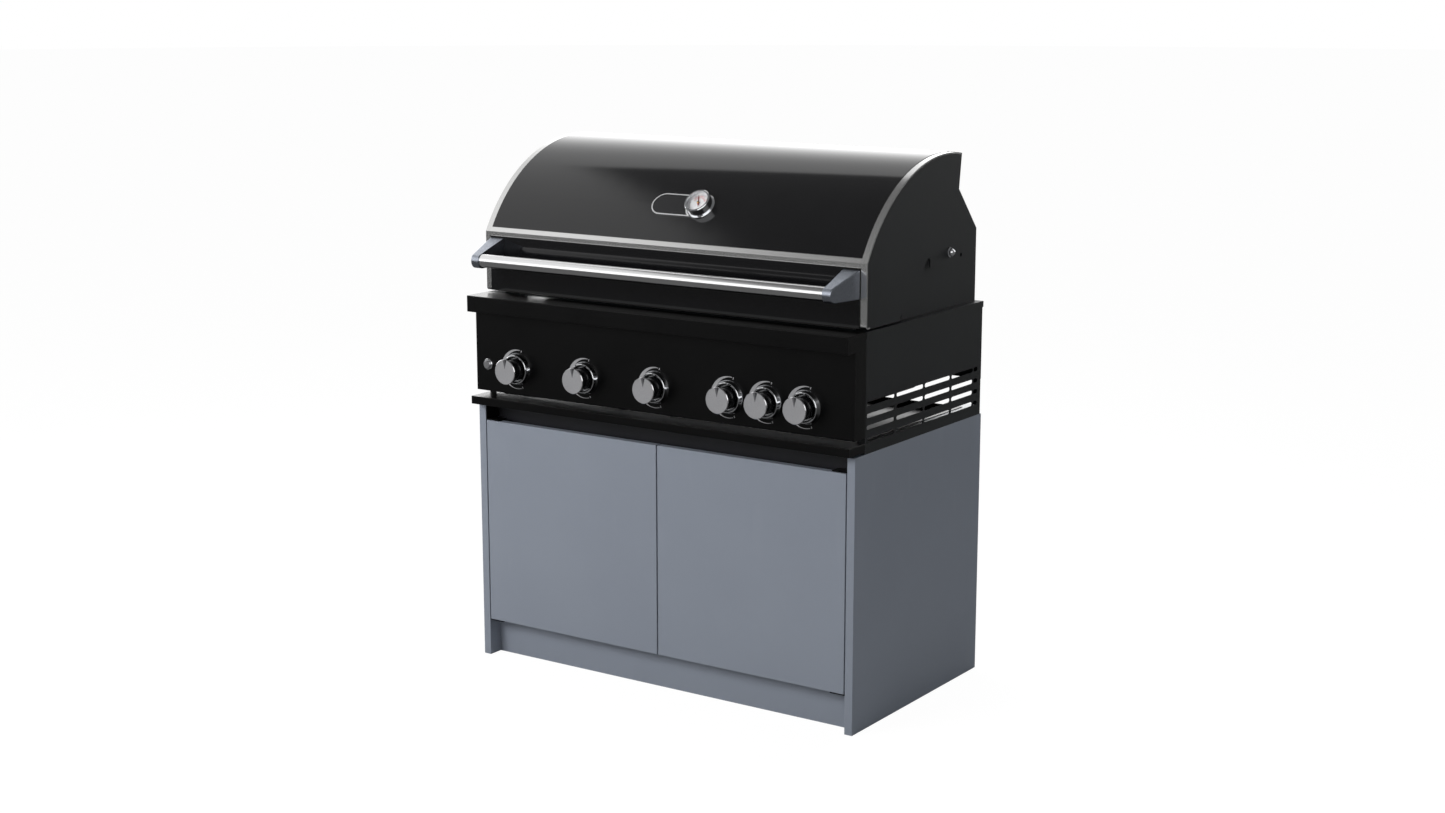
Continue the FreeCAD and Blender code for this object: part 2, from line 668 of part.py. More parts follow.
def gas_valves():
    """One valve per knob, saddled on the manifold; the rear burner's valve feeds a pipe instead of a jet."""
    pipe = rod((-half, manifold_y, manifold_z), (half, manifold_y, manifold_z), manifold_r)
    top = burner_z + valve_half
    valves = []
    for x in knob_xs:
        body = box(x - valve_half, x + valve_half, valve_front, valve_back, manifold_z, top)
        bonnet = rod((x, valve_front - 5, knob_z), (x, valve_front, knob_z), stem_r + 5)
        outlet = rod((x, valve_back, burner_z), (x, spud_end, burner_z), spud_r)
        parts = [body, bonnet] + ([] if near(x, rear_knob_x) else [outlet])
        stem_bore = rod((x, valve_front - 6, knob_z), (x, stem_back_y + knob_push + 2, knob_z), stem_r + running)
        valves.append(cut(fuse(parts), [pipe, stem_bore]))
    put("gas_valves", *valves)


def rear_gas_pipe():
    start_z = burner_z + valve_half
    z_end = (rear_burner_z[0] + rear_burner_z[1]) / 2
    path = [(rear_knob_x, manifold_y, start_z), (rear_knob_x, manifold_y, rear_pipe_z),
            (rear_pipe_x, manifold_y, rear_pipe_z), (rear_pipe_x, rear_pipe_y, rear_pipe_z),
            (rear_pipe_x, rear_pipe_y, z_end), (rear_burner_half, rear_pipe_y, z_end)]
    put("rear_gas_pipe", bent_pipe(path, rear_pipe_r, 3 * rear_pipe_r))


# ---------------------------------------------------------------- knobs and ignition
def pointer_notch():
    """Shallow V sunk in the knob's face, widest at the rim and ending near the centre."""
    y = knob_face_y
    left, right = V(-6.6, y, knob_face_r + 1), V(6.6, y, knob_face_r + 1)
    tip, deep = V(0, y, 5.0), V(4.4, y + 2.2, knob_face_r + 1)
    faces = [Part.Face(Part.makePolygon([a, b, c, a])) for a, b, c in
             ((left, right, tip), (left, right, deep), (right, tip, deep), (tip, left, deep))]
    return Part.Solid(Part.Shell(faces))


def knobs():
    back = -knob_back_y
    face = -knob_face_y
    cap_back = face - knob_cap
    outline = [(0, back), (knob_body_r - 1, back), (knob_body_r, back + 1), (knob_body_r - 1.5, cap_back - 5),
               (knob_body_r - 1.5, cap_back), (knob_face_r - 0.6, cap_back), (knob_face_r, cap_back + 0.6),
               (knob_face_r, face - 1.2), (knob_face_r - 1.2, face), (0, face)]
    knob = turned(outline, V(0, 0, 0), V(0, -1, 0)).cut(pointer_notch())
    knob = knob.cut(rod((0, knob_back_y + 1, 0), (0, stem_front_y - 1, 0), stem_r + running))
    stem = rod((0, stem_front_y, 0), (0, stem_back_y, 0), stem_r)
    for number, x in enumerate(knob_xs, 1):
        at = V(x, 0, knob_z)
        put("knob_%d" % number, knob.translated(at))
        put("valve_stem_%d" % number, stem.translated(at))


def knob_bezels():
    floor = -fascia_y
    front = -bezel_front_y
    rim_in = bezel_front_r - bezel_rim
    outline = [(stem_r + 2, floor), (bezel_base_r, floor), (bezel_base_r, floor + 1.5),
               (bezel_front_r + 0.5, front - 0.8), (bezel_front_r - 0.5, front), (rim_in, front),
               (rim_in - 0.6, front - 2.2), (knob_body_r + 2.5, floor + bezel_floor),
               (stem_r + 2, floor + bezel_floor)]
    bezel = turned(outline, V(0, 0, 0), V(0, -1, 0))
    put("knob_bezels", *[bezel.translated(V(x, 0, knob_z)) for x in knob_xs])


def ignition():
    """Push button in a chrome ring; the ring's barrel passes through the panel."""
    front = -fascia_y
    at = V(igniter_x, 0, igniter_z)
    barrel_r = igniter_button_r + 1.2
    bore = igniter_button_r + 0.1
    depth = 30.0
    ring = turned([(bore, front - depth), (barrel_r, front - depth), (barrel_r, front), (igniter_bezel_r, front),
                   (igniter_bezel_r, front + 3.4), (igniter_bezel_r - 1.2, front + 4.6), (bore, front + 4.6)],
                  V(0, 0, 0), V(0, -1, 0))
    face = -igniter_face_y
    button = turned([(0, front - depth + 12), (igniter_button_r, front - depth + 12), (igniter_button_r, face - 1.2),
                     (igniter_button_r - 1.2, face), (0, face)], V(0, 0, 0), V(0, -1, 0))
    put("ignition_bezel", ring.translated(at))
    put("ignition_button", button.translated(at))


# ---------------------------------------------------------------- hood
def corner_z(inset):
    """Height where the curved skin, set in by this much, meets the flat front."""
    y, z = arc_centre
    return z + math.sqrt((arc_r - inset) ** 2 - (y - hood_front - inset) ** 2)


def arc_point(inset, angle):
    """Point on the curved skin, by its angle in radians up from the front."""
    y, z = arc_centre
    r = arc_r - inset
    return V(0, y - r * math.cos(angle), z + r * math.sin(angle))


def arc_start(inset):
    y, z = arc_centre
    return math.atan2(corner_z(inset) - z, y - hood_front - inset)


arc_end = math.atan2(hood_rear_top[1] - arc_centre[1], arc_centre[0] - hood_rear_top[0])


def below_arc_angle(angle):
    """Wedge about the arc's axis that holds the part of the hood in front of an angle."""
    y, z = arc_centre
    beyond = arc_point(-arc_r, angle)
    return prism_x([(y, z), (beyond.y, beyond.z), (-arc_r, beyond.z), (-arc_r, z)], -half, half)


def arc_edge(inset, start, end):
    points = [arc_point(inset, a) for a in (start, (start + end) / 2, end)]
    return Part.Arc(*points).toShape()


def front_edges(inset):
    """Edges of the flat front, its rolled bottom and its return, set in by this much."""
    y0, z0 = hood_front, hood_bottom
    top = V(0, y0 + inset, corner_z(inset))
    roll_top = V(0, y0 + inset, z0 + hood_roll)
    s = (hood_roll - inset) * math.sqrt(0.5)
    roll_middle = V(0, y0 + hood_roll - s, z0 + hood_roll - s)
    roll_end = V(0, y0 + hood_roll, z0 + inset)
    back = V(0, y0 + hood_roll + hood_return, z0 + inset)
    return [Part.LineSegment(top, roll_top).toShape(), Part.Arc(roll_top, roll_middle, roll_end).toShape(),
            Part.LineSegment(roll_end, back).toShape()]


def hood_band(inset0, inset1, parts, x0, x1):
    """Sheet between two insets of the hood's outline: its arc, its front, or both."""
    wires = []
    for inset in (inset0, inset1):
        edges = []
        if "arc" in parts:
            edges.append(arc_edge(inset, arc_end, arc_start(inset)))
        if "front" in parts:
            edges += front_edges(inset)
        wires.append(edges)
    first, last = wires[0][0], wires[0][-1]
    first_in, last_in = wires[1][0], wires[1][-1]
    ends = [Part.LineSegment(first.Vertexes[0].Point, first_in.Vertexes[0].Point).toShape(),
            Part.LineSegment(last.Vertexes[-1].Point, last_in.Vertexes[-1].Point).toShape()]
    outline = Part.Wire(Part.__sortEdges__(wires[0] + wires[1] + ends))
    band = Part.Face(outline).extrude(V(x1 - x0, 0, 0))
    return band.translated(V(x0, 0, 0))


def hood_shell():
    """Curved black skin with its flat front behind the trims, and a hem along its rear edge."""
    inner = trim_sheet + sheet
    side = half - heavy_sheet
    base = hood_band(trim_sheet, inner, ("arc", "front"), -side, side)
    raised = hood_band(-skin_proud, trim_sheet + 0.2, ("arc",), -half + trim_width, half - trim_width)
    belt_side = below_arc_angle(arc_start(0) + (belt_up + seat_gap) / arc_r)
    raised = raised.cut(belt_side)
    top_y, top_z = hood_rear_top
    out = V(0, top_y - arc_centre[0], top_z - arc_centre[1]).normalize()
    edge_out = V(0, top_y, top_z) + out * (-trim_sheet)
    edge_in = V(0, top_y, top_z) + out * (-inner)
    along = V(0, top_y - pivot[0] - 22.4, top_z - pivot[1] - 23).normalize()
    hem = prism([tuple(edge_out), tuple(edge_in), tuple(edge_in - V(0, sheet, 0)),
                 tuple(edge_in - along * hood_hem - V(0, sheet, 0)), tuple(edge_out - along * (hood_hem + sheet))],
                (2 * side, 0, 0)).translated(V(-side, 0, 0))
    shell = fuse([base, raised, hem])
    probe_hole = Part.makeCylinder(3.0, 40, gauge_point(20), gauge_out * -1)
    bolts = [rod((x, hood_front, z), (x, hood_front + 10, z), 3.0) for x, z in bolt_places()]
    put("hood_shell", cut(shell, [probe_hole] + bolts))


def bolt_places():
    x = (bracket_rear_inner + half - trim_width) / 2
    return [(side * x, bar_z + rise) for side in (-1, 1) for rise in (-8, 28)]


def hood_sides():
    """Flat cheeks that turn on the pivots; their lower edge steps up clear of the body."""
    arc = arc_edge(trim_lip, arc_end, arc_start(trim_lip))
    front = front_edges(trim_lip)
    rear_top, behind_lip = arc.Vertexes[0].Point, front[-1].Vertexes[-1].Point
    py, pz = pivot
    step_y = hood_front + 140
    outline = [behind_lip, V(0, behind_lip.y, hood_bottom), V(0, step_y, hood_bottom), V(0, step_y, hood_bottom + 8),
               V(0, py - 92.6, pz - 2),
               V(0, py - 84.6, pz - 6), V(0, py - 84.6, pz - 23.5), V(0, py + 19.4, pz - 23.5),
               V(0, py + 22.4, pz + 23), rear_top]
    edges = [Part.LineSegment(a, b).toShape() for a, b in zip(outline, outline[1:])]
    face = Part.Face(Part.Wire(Part.__sortEdges__([arc] + front + edges)))
    plate = face.extrude(V(heavy_sheet, 0, 0)).translated(V(half - heavy_sheet, 0, 0))
    rounds = edges_where(plate, lambda b: b.XLength > 1 and b.YLength < 0.01 and b.ZLength < 0.01
                         and (near(b.YMin, py + 19.4) or near(b.YMin, py - 92.6)))
    plate = plate.makeFillet(8.0, rounds)
    bore = rod((half - 10, py, pz), (half + 10, py, pz), pivot_bolt_r + running)
    plate = plate.cut(bore)
    put("hood_side_right", plate)
    put("hood_side_left", mirrored(plate))


def hood_trims():
    """Stainless edges: a frame round the front panel, and a strip along each end of the curve."""
    inner = half - trim_width
    strip = fuse([hood_band(0, trim_sheet, ("arc",), inner, half),
                  hood_band(0, trim_lip, ("arc",), half - heavy_sheet, half)])
    post = fuse([hood_band(0, trim_sheet, ("front",), inner, half),
                 hood_band(0, trim_lip, ("front",), half - heavy_sheet, half)])
    belt = hood_band(0, trim_sheet, ("arc", "front"), -inner, inner)
    top = arc_point(0, arc_start(0) + belt_up / arc_r)
    keep = box(-inner, inner, 0, top.y, corner_z(0) - belt_down, top.z)
    frame = fuse([belt.common(keep), post, mirrored(post)])
    put("hood_trims", frame, strip, mirrored(strip))


def hood_front_panel():
    """Shallow pan that stands a little proud of the trims."""
    x = half - trim_width
    top = corner_z(0) - belt_down
    low = hood_bottom + hood_roll
    pan = box(-x, x, hood_front - panel_proud, hood_front + trim_sheet, hood_bottom + 1, top)
    front = edges_where(pan, lambda b: near(b.YMin, hood_front - panel_proud) and near(b.YMax, b.YMin))
    pan = pan.makeFillet(edge_round, front)
    pan = pan.cut(box(-x + sheet, x - sheet, hood_front - panel_proud + sheet, hood_front + 10,
                      low - hood_roll + 1 + sheet, top - sheet))
    pads = [box(bx - 16, bx + 16, hood_front - panel_proud + sheet / 2, hood_front + trim_sheet, z - 10, z + 10)
            for bx, z in bolt_places()]
    holes = [rod((bx, hood_front - 10, z), (bx, hood_front + 10, z), 3.0) for bx, z in bolt_places()]
    put("hood_front_panel", cut(fuse([pan] + pads), holes))


def hood_pivots():
    """Each pivot: a bolt through the rear housing's plate with a domed end, and the spacer on it."""
    y, z = pivot
    inside = housing_half - heavy_sheet
    washer = half + seat_gap
    shank = rod((inside, y, z), (washer + 1.5, y, z), pivot_bolt_r)
    head = hexagon(16.0, (inside - 6, y, z), (1, 0, 0), 6)
    disc = rod((washer, y, z), (washer + 1.5, y, z), pivot_washer_r)
    nut = hexagon(16.0, (washer + 1.5, y, z), (1, 0, 0), 5)
    dome = Part.makeSphere(dome_r, V(washer + 6.5 - 2, y, z)).common(
        box(washer + 4, washer + 30, y - 20, y + 20, z - 20, z + 20))
    bolt = fuse([shank, head, disc, nut, dome])
    spacer = rod((housing_half, y, z), (half - heavy_sheet - seat_gap, y, z), pivot_bolt_r + 4)
    spacer = spacer.cut(rod((housing_half - 1, y, z), (half, y, z), pivot_bolt_r))
    put("hood_pivots", bolt, spacer, mirrored(bolt), mirrored(spacer))


# ---------------------------------------------------------------- handle
def handle():
    end = bar_half + bar_in_bracket
    bar = rod((-end, bar_y, bar_z), (end, bar_y, bar_z), bar_r)
    bar = bar.cut(rod((-end - 1, bar_y, bar_z), (end + 1, bar_y, bar_z), bar_r - bar_wall))
    put("handle_bar", bar)
    bracket = handle_bracket()
    put("handle_brackets", bracket, mirrored(bracket))
    bolts = []
    for x, z in bolt_places():
        shank = rod((x, hood_front - panel_proud - 14, z), (x, hood_front + trim_sheet + sheet, z), 3.0)
        head = hexagon(10.0, (x, hood_front + trim_sheet + sheet, z), (0, 1, 0), 4)
        bolts.append(fuse([shank, head]))
    put("handle_bolts", *bolts)


def handle_bracket():
    """Cast wedge: wide where it stands on the hood, tapering to a round nose about the bar."""
    rear = hood_front - panel_proud
    rise, reach = bracket_top - bar_z, rear - bar_y
    distance = math.hypot(rise, reach)
    lean = math.atan2(rise, reach) + math.asin(nose_r / distance)
    touch = V(0, bar_y - nose_r * math.sin(lean), bar_z + nose_r * math.cos(lean))
    low = V(0, bar_y, bar_z - nose_r)
    rear_top, rear_low = V(0, rear, bracket_top), V(0, rear, bar_z - nose_r)
    nose = Part.Arc(touch, V(0, bar_y - nose_r, bar_z), low).toShape()
    edges = [nose] + [Part.LineSegment(a, b).toShape()
                      for a, b in ((low, rear_low), (rear_low, rear_top), (rear_top, touch))]
    profile = Part.Face(Part.Wire(Part.__sortEdges__(edges)))
    block = profile.extrude(V(half, 0, 0))
    outer = half - trim_width
    front = bar_y - nose_r - 1
    plan = prism([(bar_half, front, 0), (bracket_nose_outer, front, 0), (outer, rear + 1, 0),
                  (bracket_rear_inner, rear + 1, 0), (bar_half, bar_y + nose_r, 0)], (0, 0, 2 * bar_z))
    bracket = block.common(plan)
    sloping = edges_where(bracket, lambda b: b.XMin > bracket_nose_outer - 1 and b.YLength > 5
                          and b.YMin < rear - 5)
    bracket = bracket.makeFillet(bracket_round, sloping)
    socket = rod((bar_half - 1, bar_y, bar_z), (bar_half + bar_in_bracket, bar_y, bar_z), bar_r)
    holes = [rod((x, rear - 14, z), (x, rear + 1, z), 3.0) for x, z in bolt_places() if x > 0]
    return cut(bracket, [socket] + holes)


# ---------------------------------------------------------------- badge and gauge
def gauge_point(height, x=None):
    """Point on the gauge's axis, this high above the skin."""
    y, z = arc_centre
    return V(gauge_x if x is None else x, y, z) + gauge_out * (skin_r + height)


def above_skin(height):
    y, z = arc_centre
    return Part.makeCylinder(skin_r + height, 2 * half, V(-half, y, z), AXIS_X)


def gauge():
    inner = gauge_r - gauge_wall
    lip = inner - 1.5
    h = gauge_height
    outline = [(0, -3), (gauge_flange_r, -3), (gauge_flange_r, gauge_flange - 0.8),
               (gauge_flange_r - 0.8, gauge_flange), (gauge_r, gauge_flange), (gauge_r, h - 1.2),
               (gauge_r - 1.2, h), (lip, h), (lip, glass_height + 2), (inner, glass_height + 2),
               (inner, dial_height), (0, dial_height)]
    at = gauge_point(0)
    body = turned(outline, at, gauge_out).cut(above_skin(0))
    probe = Part.makeCylinder(3.0, 62, gauge_point(1), gauge_out * -1)
    pin = Part.makeCylinder(1.0, 4.4, gauge_point(dial_height - 0.5), gauge_out)
    put("gauge_case", fuse([body, probe, pin]))
    put("gauge_dial", turned([(1.2, dial_height), (inner, dial_height), (inner, dial_height + 1),
                              (1.2, dial_height + 1)], at, gauge_out))
    put("gauge_glass", turned([(0, glass_height), (inner, glass_height), (inner, glass_height + 2),
                               (0, glass_height + 2)], at, gauge_out))
    needle_z = dial_height + 1.5
    hub = turned([(1.0 + running, needle_z), (3.0, needle_z), (2.6, needle_z + 3), (1.0 + running, needle_z + 3)],
                 at, gauge_out)
    ex = AXIS_X
    base = gauge_point(needle_z + 0.6)
    blade = prism([tuple(base + ex * a + gauge_up * b) for a, b in
                   ((-1.5, -7.5), (1.5, -7.5), (1.1, 4), (0, needle_length), (-1.1, 4))], tuple(gauge_out * 0.8))
    hole = Part.makeCylinder(1.0 + running, 6, gauge_point(needle_z - 1), gauge_out)
    needle = fuse([hub, blade]).cut(hole)
    needle.rotate(at, gauge_out, 22)
    put("gauge_needle", needle)


def badge():
    """Bare plate with a raised rim, rounded at one end and fitted round the gauge at the other."""
    def outline(inset, height):
        r = badge_r - inset
        left, right = gauge_point(-8, badge_left), gauge_point(-8, gauge_x)
        top, low = gauge_up * r, gauge_up * -r
        edges = [Part.LineSegment(left + top, right + top).toShape(),
                 Part.LineSegment(right + top, right + low).toShape(),
                 Part.LineSegment(right + low, left + low).toShape(),
                 Part.Arc(left + low, left - AXIS_X * r, left + top).toShape()]
        face = Part.Face(Part.Wire(Part.__sortEdges__(edges)))
        return face.extrude(gauge_out * 20).common(above_skin(height)).cut(above_skin(0))
    clear = Part.makeCylinder(gauge_flange_r + 0.1, 60, gauge_point(-20), gauge_out)
    plate = outline(0, badge_height).cut(clear)
    right_rim = Part.makeCylinder(gauge_flange_r + badge_rim, 60, gauge_point(-20), gauge_out)
    sunk = outline(badge_rim, badge_height + 1).cut(above_skin(badge_height - badge_inset)).cut(right_rim)
    put("badge_plate", plate.cut(sunk))


# ---------------------------------------------------------------- build everything
os.makedirs("parts", exist_ok=True)
for build_group in (cabinet, finger_pull_channel, door, door_pivots, base_frame, body_sides, body_back_panel,
                    top_frame, front_bulkhead, control_panel, grease_tray, firebox, main_burners, flame_tamers,
                    cooking_grates, igniter_electrodes, rear_housing, rear_burner, warming_rack, gas_manifold,
                    gas_valves, rear_gas_pipe, knobs, knob_bezels, ignition, hood_shell, hood_sides, hood_trims,
                    hood_front_panel, hood_pivots, handle, gauge, badge):
    build_group()
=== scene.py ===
# %% [markdown]
# This file gives a gas barbecue grill its looks in Blender. The grill's construction comes in
# ready made, as a frame: every sheet, pin and knob is already a mesh of its true size, in metres,
# and rides on the body that it moves with. What is left is what a finisher does: lacquer, enamel,
# brushed steel, printed marks, and the light and camera of a small studio.

import json
import math

import bmesh
import bpy
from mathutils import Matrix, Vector

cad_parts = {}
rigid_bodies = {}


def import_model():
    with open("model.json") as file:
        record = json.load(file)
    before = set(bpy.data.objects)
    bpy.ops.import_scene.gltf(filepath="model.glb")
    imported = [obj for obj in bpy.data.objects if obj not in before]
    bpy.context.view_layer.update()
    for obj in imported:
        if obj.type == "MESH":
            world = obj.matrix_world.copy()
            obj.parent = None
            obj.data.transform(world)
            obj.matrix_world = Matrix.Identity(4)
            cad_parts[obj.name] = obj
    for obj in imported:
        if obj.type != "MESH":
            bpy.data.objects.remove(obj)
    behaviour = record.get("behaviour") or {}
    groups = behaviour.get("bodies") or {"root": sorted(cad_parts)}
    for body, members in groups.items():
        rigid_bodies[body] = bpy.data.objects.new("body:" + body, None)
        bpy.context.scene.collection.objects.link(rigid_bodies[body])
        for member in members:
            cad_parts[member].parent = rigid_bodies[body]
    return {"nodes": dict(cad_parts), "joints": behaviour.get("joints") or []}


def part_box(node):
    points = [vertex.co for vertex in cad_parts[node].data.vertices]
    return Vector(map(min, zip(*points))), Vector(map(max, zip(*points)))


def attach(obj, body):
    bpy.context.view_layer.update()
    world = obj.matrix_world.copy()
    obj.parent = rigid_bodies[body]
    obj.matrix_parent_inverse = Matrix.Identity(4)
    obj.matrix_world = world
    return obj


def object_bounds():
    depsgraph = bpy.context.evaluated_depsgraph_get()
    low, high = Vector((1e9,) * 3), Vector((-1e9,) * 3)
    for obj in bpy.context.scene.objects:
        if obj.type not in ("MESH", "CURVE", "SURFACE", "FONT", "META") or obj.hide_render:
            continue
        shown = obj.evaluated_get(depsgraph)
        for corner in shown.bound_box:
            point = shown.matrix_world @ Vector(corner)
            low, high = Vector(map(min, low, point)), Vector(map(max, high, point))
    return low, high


for leftover in list(bpy.data.objects):
    bpy.data.objects.remove(leftover)
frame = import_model()
nodes = frame["nodes"]
cad_low, cad_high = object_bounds()
joints = {joint["name"]: joint for joint in frame["joints"]}
MM = 0.001
print("frame:", len(nodes), "nodes,", [round(v, 4) for v in cad_high - cad_low], "m")

# %% [markdown]
# A finish is a tree of shader nodes. Wiring one by hand is slow to read, so a small class wraps
# a socket and overloads the arithmetic operators: an expression such as 1 - mask * 0.3 adds its
# own Math nodes. Every other node comes from one method, which takes the node's type, its
# settings and what goes into its sockets.

# %% Shader expressions
class Signal:
    """An output socket that can stand in a sum or a product."""

    def __init__(self, recipe, socket):
        self.recipe, self.socket = recipe, socket

    def maths(self, operation, *values):
        return self.recipe.add("Math", {"operation": operation}, dict(enumerate(values)))

    def __add__(self, other):
        return self.maths("ADD", self, other)

    def __radd__(self, other):
        return self.maths("ADD", other, self)

    def __sub__(self, other):
        return self.maths("SUBTRACT", self, other)

    def __rsub__(self, other):
        return self.maths("SUBTRACT", other, self)

    def __mul__(self, other):
        return self.maths("MULTIPLY", self, other)

    def __rmul__(self, other):
        return self.maths("MULTIPLY", other, self)

    def __truediv__(self, other):
        return self.maths("DIVIDE", self, other)

    def __rtruediv__(self, other):
        return self.maths("DIVIDE", other, self)

    def __pow__(self, other):
        return self.maths("POWER", self, other)

    def __gt__(self, other):
        return self.maths("GREATER_THAN", self, other)

    def __lt__(self, other):
        return self.maths("LESS_THAN", self, other)

    def __abs__(self):
        return self.maths("ABSOLUTE", self)

    def ramp(self, low, high):
        """0 below low, 1 above high, and a smooth rise between them."""
        return self.recipe.add("MapRange", {"interpolation_type": "SMOOTHSTEP"},
                               {"Value": self, "From Min": low, "From Max": high})


class Recipe:
    """A node tree that is being filled."""

    def __init__(self, tree):
        self.tree = tree

    def add(self, kind, settings, sockets, output=0):
        """Add any node: its settings first, then a value or a Signal for each socket."""
        node = self.tree.nodes.new("ShaderNode" + kind)
        for name, value in settings.items():
            setattr(node, name, value)
        for name, value in sockets.items():
            self.plug(node.inputs[name], value)
        return Signal(self, node.outputs[output])

    def plug(self, socket, value):
        if isinstance(value, Signal):
            self.tree.links.new(value.socket, socket)
        else:
            socket.default_value = value

    def position(self, stretch=(1, 1, 1)):
        """Place on the object in metres, multiplied along each axis."""
        place = self.add("TexCoord", {}, {}, "Object")
        return self.add("VectorMath", {"operation": "MULTIPLY"}, {0: place, 1: stretch})

    def axes(self, vector):
        return [self.add("SeparateXYZ", {}, {0: vector}, axis) for axis in "XYZ"]

    def noise(self, vector, scale, detail=2.0):
        return self.add("TexNoise", {}, {"Vector": vector, "Scale": scale, "Detail": detail})

    def mix(self, factor, first, second):
        return self.add("Mix", {"data_type": "RGBA"}, {0: factor, 6: first, 7: second}, 2)

    def bump(self, height, distance, strength=1.0):
        return self.add("Bump", {}, {"Height": height, "Distance": distance, "Strength": strength})


class Finish(Recipe):
    """A material: its surface shader's sockets take numbers, colours or Signals."""

    def __init__(self, name):
        self.material = bpy.data.materials.new(name)
        self.material.use_nodes = True
        super().__init__(self.material.node_tree)
        self.surface = self.tree.nodes["Principled BSDF"]

    def set(self, sockets):
        for name, value in sockets.items():
            self.plug(self.surface.inputs[name], value)
        return self.material


def grey(value, warmth=0.0):
    return (value * (1 + warmth), value, value * (1 - warmth), 1.0)


def dress(material, *names):
    """Give the named CAD nodes one finish."""
    for name in names:
        mesh = nodes[name].data
        mesh.materials.clear()
        mesh.materials.append(material)
    print(material.name, "on", len(names), "node(s)")


# %% [markdown]
# The cabinet is board with a matt lacquer. Sprayed lacquer is never quite even: its colour drifts
# a little over a door, it has a fine orange peel, and cloths leave faint polished marks that are
# smoother, and a painted sheen makes them a little lighter. All of it is driven by the place on the object, so it
# needs no map.

# %% Matt lacquer on the cabinet
def lacquer(name, light, dark, streak_sheen):
    finish = Finish(name)
    place = finish.position()
    drift = finish.noise(place, 3.0)
    streaks_and_painted_sheen = finish.noise(finish.position((9.0, 9.0, 1.6)), 2.2, 4.0).ramp(0.60, 0.72)
    peel = finish.noise(place, 900.0)
    colour = finish.mix(drift.ramp(0.3, 0.7), dark, light)
    # Painted sheen: the polish mask lightens the base colour; in the roughness it is real polish.
    return finish.set({"Base Color": finish.mix(streaks_and_painted_sheen * streak_sheen, colour, light),
                       "Roughness": 0.46 + drift * 0.08 - streaks_and_painted_sheen * 0.05,
                       "Specular IOR Level": 0.4,
                       "Normal": finish.bump(peel, 0.02 * MM, 0.5)})


dress(lacquer("cabinet_lacquer", (0.222, 0.246, 0.290, 1), (0.211, 0.234, 0.278, 1), 0.5),
      "cabinet_side_left", "cabinet_side_right", "door_left", "door_right", "cabinet_plinth",
      "cabinet_floor")
dress(lacquer("dark_board", grey(0.020), grey(0.016), 0.0), "cabinet_back")

# %% [markdown]
# The grill head is folded sheet with a satin black coat: powder that melts in an oven and leaves
# a grain of about half a millimetre. The control panel is smoother and blacker than the body
# behind it, so one recipe takes the tone, the gloss and the depth of the grain.

# %% Black coats on the grill head
def black_coat(name, tone, roughness, grain, shine):
    finish = Finish(name)
    place = finish.position()
    powder = finish.noise(place, 1600.0, 3.0)
    cloud = finish.noise(place, 7.0)
    colour = finish.mix(cloud.ramp(0.35, 0.65), tone, [channel * 1.18 for channel in tone[:3]] + [1])
    return finish.set({"Base Color": colour, "Roughness": roughness + (cloud - 0.5) * 0.06,
                       "Specular IOR Level": shine,
                       "Normal": finish.bump(powder, grain, 0.6)})


body_coat = black_coat("body_coat", (0.0085, 0.0100, 0.0112, 1), 0.50, 0.03 * MM, 0.26)
panel_coat = black_coat("panel_coat", (0.0014, 0.0014, 0.0015, 1), 0.29, 0.006 * MM, 0.20)
channel_coat = black_coat("channel_coat", (0.0130, 0.0135, 0.0170, 1), 0.55, 0.02 * MM, 0.4)
dress(body_coat, "body_side_left", "body_side_right", "body_back_panel", "top_frame", "rear_housing",
      "hood_side_left", "hood_side_right", "base_frame")
dress(panel_coat, "control_panel", "grease_tray", "door_pivots", "door_catches")
dress(channel_coat, "finger_pull_channel")

# %% [markdown]
# The hood's skin and front panel are vitreous enamel: black glass fused on steel. Its depth comes
# from the reflections, which are faint face on and strong at a glance, so the surface is smooth,
# nearly black, and has only the slow waves that enamel keeps from the kiln.

# %% Gloss enamel on the hood
def enamel():
    finish = Finish("hood_enamel")
    place = finish.position()
    wave = finish.noise(place, 14.0, 1.0)
    dust = finish.noise(place, 420.0)
    return finish.set({"Base Color": finish.mix(wave, (0.0040, 0.0040, 0.0046, 1), (0.0062, 0.0062, 0.0070, 1)),
                       "Roughness": 0.075 + dust.ramp(0.55, 0.75) * 0.035,
                       "IOR": 1.52,
                       "Normal": finish.bump(wave, 0.10 * MM, 0.5)})


dress(enamel(), "hood_shell", "hood_front_panel")

# %% [markdown]
# Stainless steel shows the direction it was brushed in. Fine scratches run along each strip, so
# the noise that drives the roughness is stretched along the strip and very tight across it. The
# posts and curved strips at the hood's ends run up and over, and the belt between them runs
# across, so the trims choose between two directions by how far they are from the middle.

# %% Brushed steel
def brushed(name, tone, roughness, strength, vertical_from=None):
    finish = Finish(name)
    across = finish.noise(finish.position((6, 2200, 2200)), 1.0, 3.0)
    if vertical_from is not None:
        upright = finish.noise(finish.position((2600, 3, 3)), 1.0, 3.0)
        x, _, _ = finish.axes(finish.position())
        at_ends = abs(x) > vertical_from
        lines = across * (1 - at_ends) + upright * at_ends
    else:
        lines = across
    stain = finish.noise(finish.position(), 9.0)
    shade = finish.mix(lines.ramp(0.25, 0.75), [channel * 0.93 for channel in tone[:3]] + [1], tone)
    return finish.set({"Base Color": shade, "Metallic": 1.0,
                       "Roughness": roughness + (lines - 0.5) * strength + (stain - 0.5) * 0.04,
                       "Normal": finish.bump(lines, 0.004 * MM, 0.3)})


trim_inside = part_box("hood_front_panel")[1].x
dress(brushed("brushed_trim", (0.74, 0.74, 0.735, 1), 0.19, 0.08, trim_inside), "hood_trims")
dress(brushed("handle_tube", (0.78, 0.78, 0.785, 1), 0.14, 0.06), "handle_bar")
dress(brushed("zinc_plate", (0.42, 0.43, 0.44, 1), 0.42, 0.10), "front_bulkhead", "tray_runners",
      "handle_bolts", "gas_manifold", *["valve_stem_%d" % n for n in range(1, 7)])


